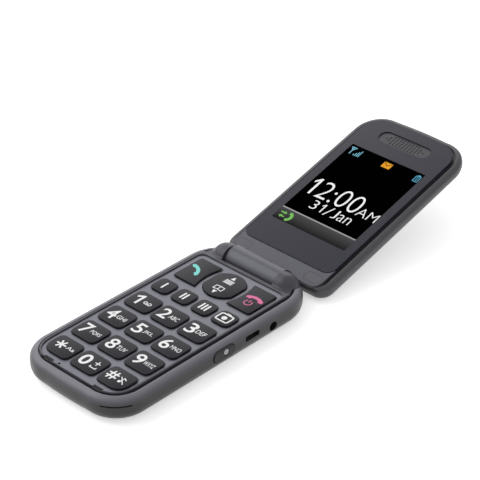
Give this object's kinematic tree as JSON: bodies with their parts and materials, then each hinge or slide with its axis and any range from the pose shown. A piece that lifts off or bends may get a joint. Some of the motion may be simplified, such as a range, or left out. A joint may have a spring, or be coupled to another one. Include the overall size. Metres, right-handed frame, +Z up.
{
  "type": "clamshell phone",
  "caption": "Clamshell mobile phone standing open: keypad base with pressing keys, and a display lid that closes on a barrel hinge.",
  "frame": {"origin": "middle of the base's flat underside, on the table", "axes": "+X to the side with the sockets, +Y from the chin towards the hinge and the lid, +Z up"},
  "size_m": [0.0528, 0.1938, 0.0293],
  "materials": {
    "key_plastic": "satin",
    "housing_plastic": "satin",
    "face_plastic": "satin",
    "black_plastic": "matte",
    "board": "matte",
    "steel": "plain",
    "battery_can": "wrapped",
    "silicone": "matte",
    "lens": "gloss",
    "film": "gloss"
  },
  "bodies": {
    "base": {"rear_housing": "housing_plastic", "front_cover": "face_plastic", "battery_cover": "housing_plastic", "battery": "battery_can", "main_board": "board", "dome_switches": "steel", "key_mat": "silicone", "usb_socket": "steel", "headphone_jack": "black_plastic", "loudspeaker": "black_plastic", "microphone": "steel", "vibration_motor": "steel", "sim_reader": "steel", "chin_bumpers": "silicone", "base_screws": "steel", "hinge_bush": "steel"},
    "key_1": {"key_1": "key_plastic"},
    "key_2": {"key_2": "key_plastic"},
    "key_3": {"key_3": "key_plastic"},
    "key_4": {"key_4": "key_plastic"},
    "key_5": {"key_5": "key_plastic"},
    "key_6": {"key_6": "key_plastic"},
    "key_7": {"key_7": "key_plastic"},
    "key_8": {"key_8": "key_plastic"},
    "key_9": {"key_9": "key_plastic"},
    "key_star": {"key_star": "key_plastic"},
    "key_0": {"key_0": "key_plastic"},
    "key_hash": {"key_hash": "key_plastic"},
    "quick_key_1": {"quick_key_1": "key_plastic"},
    "quick_key_2": {"quick_key_2": "key_plastic"},
    "quick_key_3": {"quick_key_3": "key_plastic"},
    "camera_key": {"camera_key": "key_plastic"},
    "call_key": {"call_key": "key_plastic"},
    "end_key": {"end_key": "key_plastic"},
    "nav_key": {"nav_key": "key_plastic"},
    "side_key": {"side_key": "housing_plastic"},
    "volume_key": {"volume_key": "housing_plastic"},
    "lid": {"lid_frame": "face_plastic", "lens_panel": "lens", "display_module": "black_plastic", "earpiece_grille": "black_plastic", "earpiece_receiver": "steel", "lid_board": "board", "camera_module": "black_plastic", "camera_window": "lens", "lid_cover": "housing_plastic", "screw_cover_left": "face_plastic", "screw_cover_right": "face_plastic", "lid_screws": "steel", "hinge_cartridge": "steel", "hinge_flex": "film"}
  },
  "joints": [
    {"name": "lid_hinge", "type": "hinge", "parent": "base", "child": "lid", "pos_m": [0, 0.0455, 0.0082], "axis": [1, 0, 0], "range_deg": [0, 165.15]},
    {"name": "key_1_press", "type": "slide", "parent": "base", "child": "key_1", "axis": [0, 0, -1], "range_m": [0, 0.0003], "stiffness_N_per_m": 1000},
    {"name": "key_2_press", "type": "slide", "parent": "base", "child": "key_2", "axis": [0, 0, -1], "range_m": [0, 0.0003], "stiffness_N_per_m": 1000},
    {"name": "key_3_press", "type": "slide", "parent": "base", "child": "key_3", "axis": [0, 0, -1], "range_m": [0, 0.0003], "stiffness_N_per_m": 1000},
    {"name": "key_4_press", "type": "slide", "parent": "base", "child": "key_4", "axis": [0, 0, -1], "range_m": [0, 0.0003], "stiffness_N_per_m": 1000},
    {"name": "key_5_press", "type": "slide", "parent": "base", "child": "key_5", "axis": [0, 0, -1], "range_m": [0, 0.0003], "stiffness_N_per_m": 1000},
    {"name": "key_6_press", "type": "slide", "parent": "base", "child": "key_6", "axis": [0, 0, -1], "range_m": [0, 0.0003], "stiffness_N_per_m": 1000},
    {"name": "key_7_press", "type": "slide", "parent": "base", "child": "key_7", "axis": [0, 0, -1], "range_m": [0, 0.0003], "stiffness_N_per_m": 1000},
    {"name": "key_8_press", "type": "slide", "parent": "base", "child": "key_8", "axis": [0, 0, -1], "range_m": [0, 0.0003], "stiffness_N_per_m": 1000},
    {"name": "key_9_press", "type": "slide", "parent": "base", "child": "key_9", "axis": [0, 0, -1], "range_m": [0, 0.0003], "stiffness_N_per_m": 1000},
    {"name": "key_star_press", "type": "slide", "parent": "base", "child": "key_star", "axis": [0, 0, -1], "range_m": [0, 0.0003], "stiffness_N_per_m": 1000},
    {"name": "key_0_press", "type": "slide", "parent": "base", "child": "key_0", "axis": [0, 0, -1], "range_m": [0, 0.0003], "stiffness_N_per_m": 1000},
    {"name": "key_hash_press", "type": "slide", "parent": "base", "child": "key_hash", "axis": [0, 0, -1], "range_m": [0, 0.0003], "stiffness_N_per_m": 1000},
    {"name": "quick_key_1_press", "type": "slide", "parent": "base", "child": "quick_key_1", "axis": [0, 0, -1], "range_m": [0, 0.0003], "stiffness_N_per_m": 1000},
    {"name": "quick_key_2_press", "type": "slide", "parent": "base", "child": "quick_key_2", "axis": [0, 0, -1], "range_m": [0, 0.0003], "stiffness_N_per_m": 1000},
    {"name": "quick_key_3_press", "type": "slide", "parent": "base", "child": "quick_key_3", "axis": [0, 0, -1], "range_m": [0, 0.0003], "stiffness_N_per_m": 1000},
    {"name": "camera_key_press", "type": "slide", "parent": "base", "child": "camera_key", "axis": [0, 0, -1], "range_m": [0, 0.0003], "stiffness_N_per_m": 1000},
    {"name": "call_key_press", "type": "slide", "parent": "base", "child": "call_key", "axis": [0, 0, -1], "range_m": [0, 0.0003], "stiffness_N_per_m": 1000},
    {"name": "end_key_press", "type": "slide", "parent": "base", "child": "end_key", "axis": [0, 0, -1], "range_m": [0, 0.0003], "stiffness_N_per_m": 1000},
    {"name": "nav_key_rock", "type": "hinge", "parent": "base", "child": "nav_key", "pos_m": [0, 0.0275, 0.0079], "axis": [1, 0, 0], "range_deg": [-1.6, 1.6], "stiffness_Nm_per_rad": 0.3},
    {"name": "side_key_press", "type": "slide", "parent": "base", "child": "side_key", "axis": [-1, 0, 0], "range_m": [0, 0.0003], "stiffness_N_per_m": 1000},
    {"name": "volume_key_rock", "type": "hinge", "parent": "base", "child": "volume_key", "pos_m": [-0.0235, 0.0145, 0.006], "axis": [0, 0, 1], "range_deg": [-1.2, 1.2], "stiffness_Nm_per_rad": 0.3}
  ]
}
